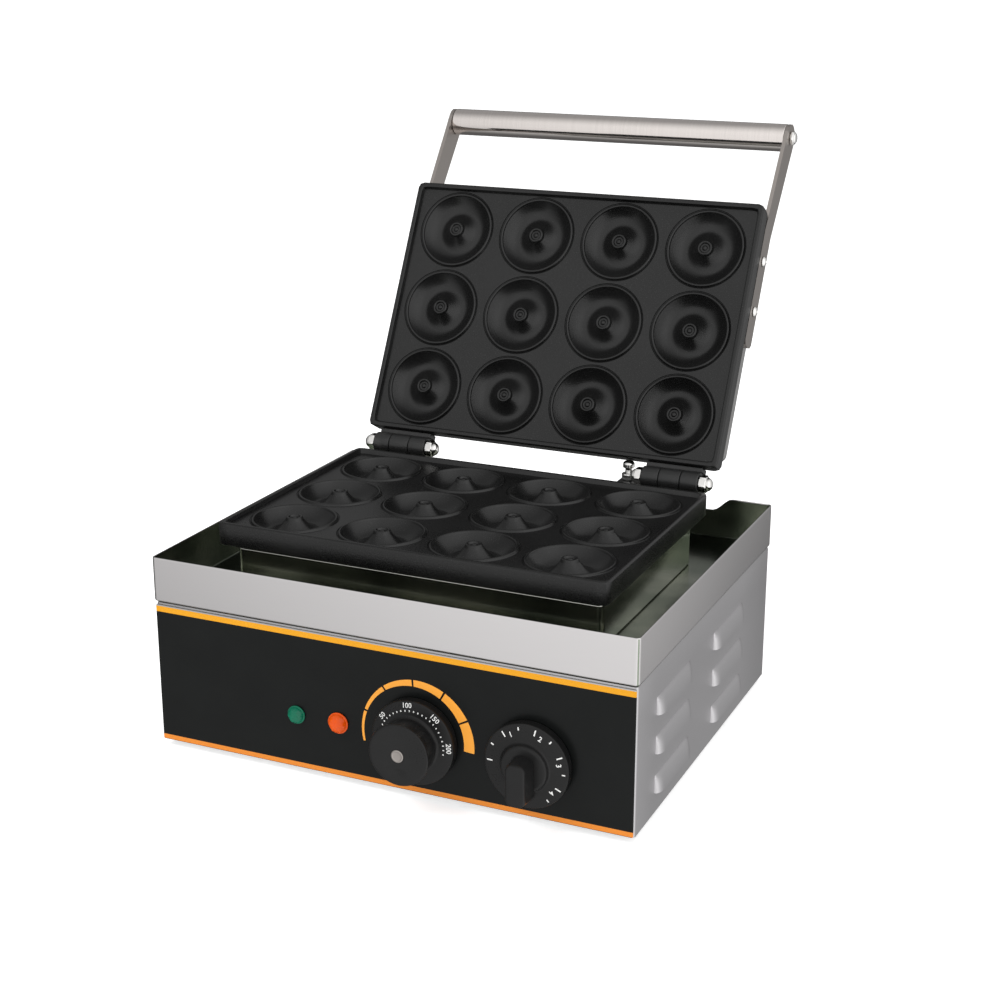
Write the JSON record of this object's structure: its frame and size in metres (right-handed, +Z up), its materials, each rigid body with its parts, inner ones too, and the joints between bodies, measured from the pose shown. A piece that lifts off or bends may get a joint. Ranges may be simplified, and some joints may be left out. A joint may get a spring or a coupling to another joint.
{
  "type": "donut maker",
  "caption": "Countertop ring-doughnut press: stainless base with dials and lamps, drip tray, cup mould plate and a hinged heated lid with a tube handle.",
  "frame": {"origin": "on the surface that the feet stand on, under the middle of the open appliance's width and depth", "axes": "+X to the right of someone facing the controls, -Y out of the control panel, +Y to the hinges, +Z up"},
  "size_m": [0.376, 0.4719, 0.4234],
  "materials": {
    "brushed_stainless": "fine brushed grain, satin",
    "polished_stainless": "polished, nearly mirror bright",
    "nonstick_casting": "cast aluminium under a black satin non-stick coat",
    "black_panel": "smooth black enamel, semi-gloss",
    "black_phenolic": "moulded black phenolic, soft gloss",
    "black_hinge_iron": "black painted casting, fine grain",
    "bright_fastener": "bright plated",
    "rubber_black": "matte black",
    "lamp_green_lens": "translucent green lens, unlit",
    "lamp_orange_lens": "translucent orange lens, unlit",
    "ceramic_white": "unglazed steatite",
    "element_sheath": "dark oxidised sheath"
  },
  "bodies": {
    "base": {"base_lead_gland": "black_phenolic", "base_shell": "brushed_stainless", "bottom_plate": "brushed_stainless", "bottom_screw_front_left": "bright_fastener", "bottom_screw_front_right": "bright_fastener", "bottom_screw_rear_left": "bright_fastener", "bottom_screw_rear_right": "bright_fastener", "cord_gland": "black_phenolic", "foot_front_left": "rubber_black", "foot_front_right": "rubber_black", "foot_rear_left": "rubber_black", "foot_rear_right": "rubber_black", "front_fascia": "black_panel", "heater_housing": "polished_stainless", "hinge_leaf_lower_left": "black_hinge_iron", "hinge_leaf_lower_right": "black_hinge_iron", "hinge_nut_left_left": "bright_fastener", "hinge_nut_left_right": "bright_fastener", "hinge_nut_right_left": "bright_fastener", "hinge_nut_right_right": "bright_fastener", "hinge_pin_left": "bright_fastener", "hinge_pin_right": "bright_fastener", "indicator_lamp_green": "lamp_green_lens", "indicator_lamp_orange": "lamp_orange_lens", "lamp_nut_green": "black_phenolic", "lamp_nut_orange": "black_phenolic", "lid_stop_nut": "bright_fastener", "lid_stop_screw": "bright_fastener", "lower_clamp_plate": "brushed_stainless", "lower_heating_element": "element_sheath", "lower_mould_plate": "nonstick_casting", "plate_post_front_left": "bright_fastener", "plate_post_front_right": "bright_fastener", "plate_post_rear_left": "bright_fastener", "plate_post_rear_right": "bright_fastener", "terminal_block": "ceramic_white", "thermostat_body": "black_phenolic", "timer_body": "black_phenolic", "top_tray": "polished_stainless"},
    "lid": {"upper_mould_plate": "nonstick_casting", "lid_cover": "brushed_stainless", "upper_heating_element": "element_sheath", "upper_clamp_plate": "brushed_stainless", "handle_tube": "polished_stainless", "handle_tie_rod": "bright_fastener", "handle_arm_left": "brushed_stainless", "handle_arm_right": "brushed_stainless", "handle_nut_left": "bright_fastener", "handle_nut_right": "bright_fastener", "arm_screw_left_front": "bright_fastener", "arm_screw_left_rear": "bright_fastener", "arm_screw_right_front": "bright_fastener", "arm_screw_right_rear": "bright_fastener", "hinge_leaf_upper_left": "black_hinge_iron", "hinge_leaf_upper_right": "black_hinge_iron", "lid_lead_gland": "black_phenolic"},
    "thermostat_dial": {"thermostat_knob": "black_phenolic", "thermostat_shaft": "bright_fastener"},
    "timer_dial": {"timer_knob": "black_phenolic", "timer_shaft": "bright_fastener"}
  },
  "joints": [
    {"name": "lid_hinge", "type": "hinge", "parent": "base", "child": "lid", "pos_m": [0, 0.0525, 0.17], "axis": [1, 0, 0], "range_deg": [0, 118]},
    {"name": "thermostat_turn", "type": "hinge", "parent": "base", "child": "thermostat_dial", "pos_m": [0.026, -0.205, 0.0465], "axis": [0, 1, 0], "range_deg": [0, 300]},
    {"name": "timer_turn", "type": "hinge", "parent": "base", "child": "timer_dial", "pos_m": [0.1105, -0.205, 0.0465], "axis": [0, 1, 0], "range_deg": [0, 300]}
  ]
}
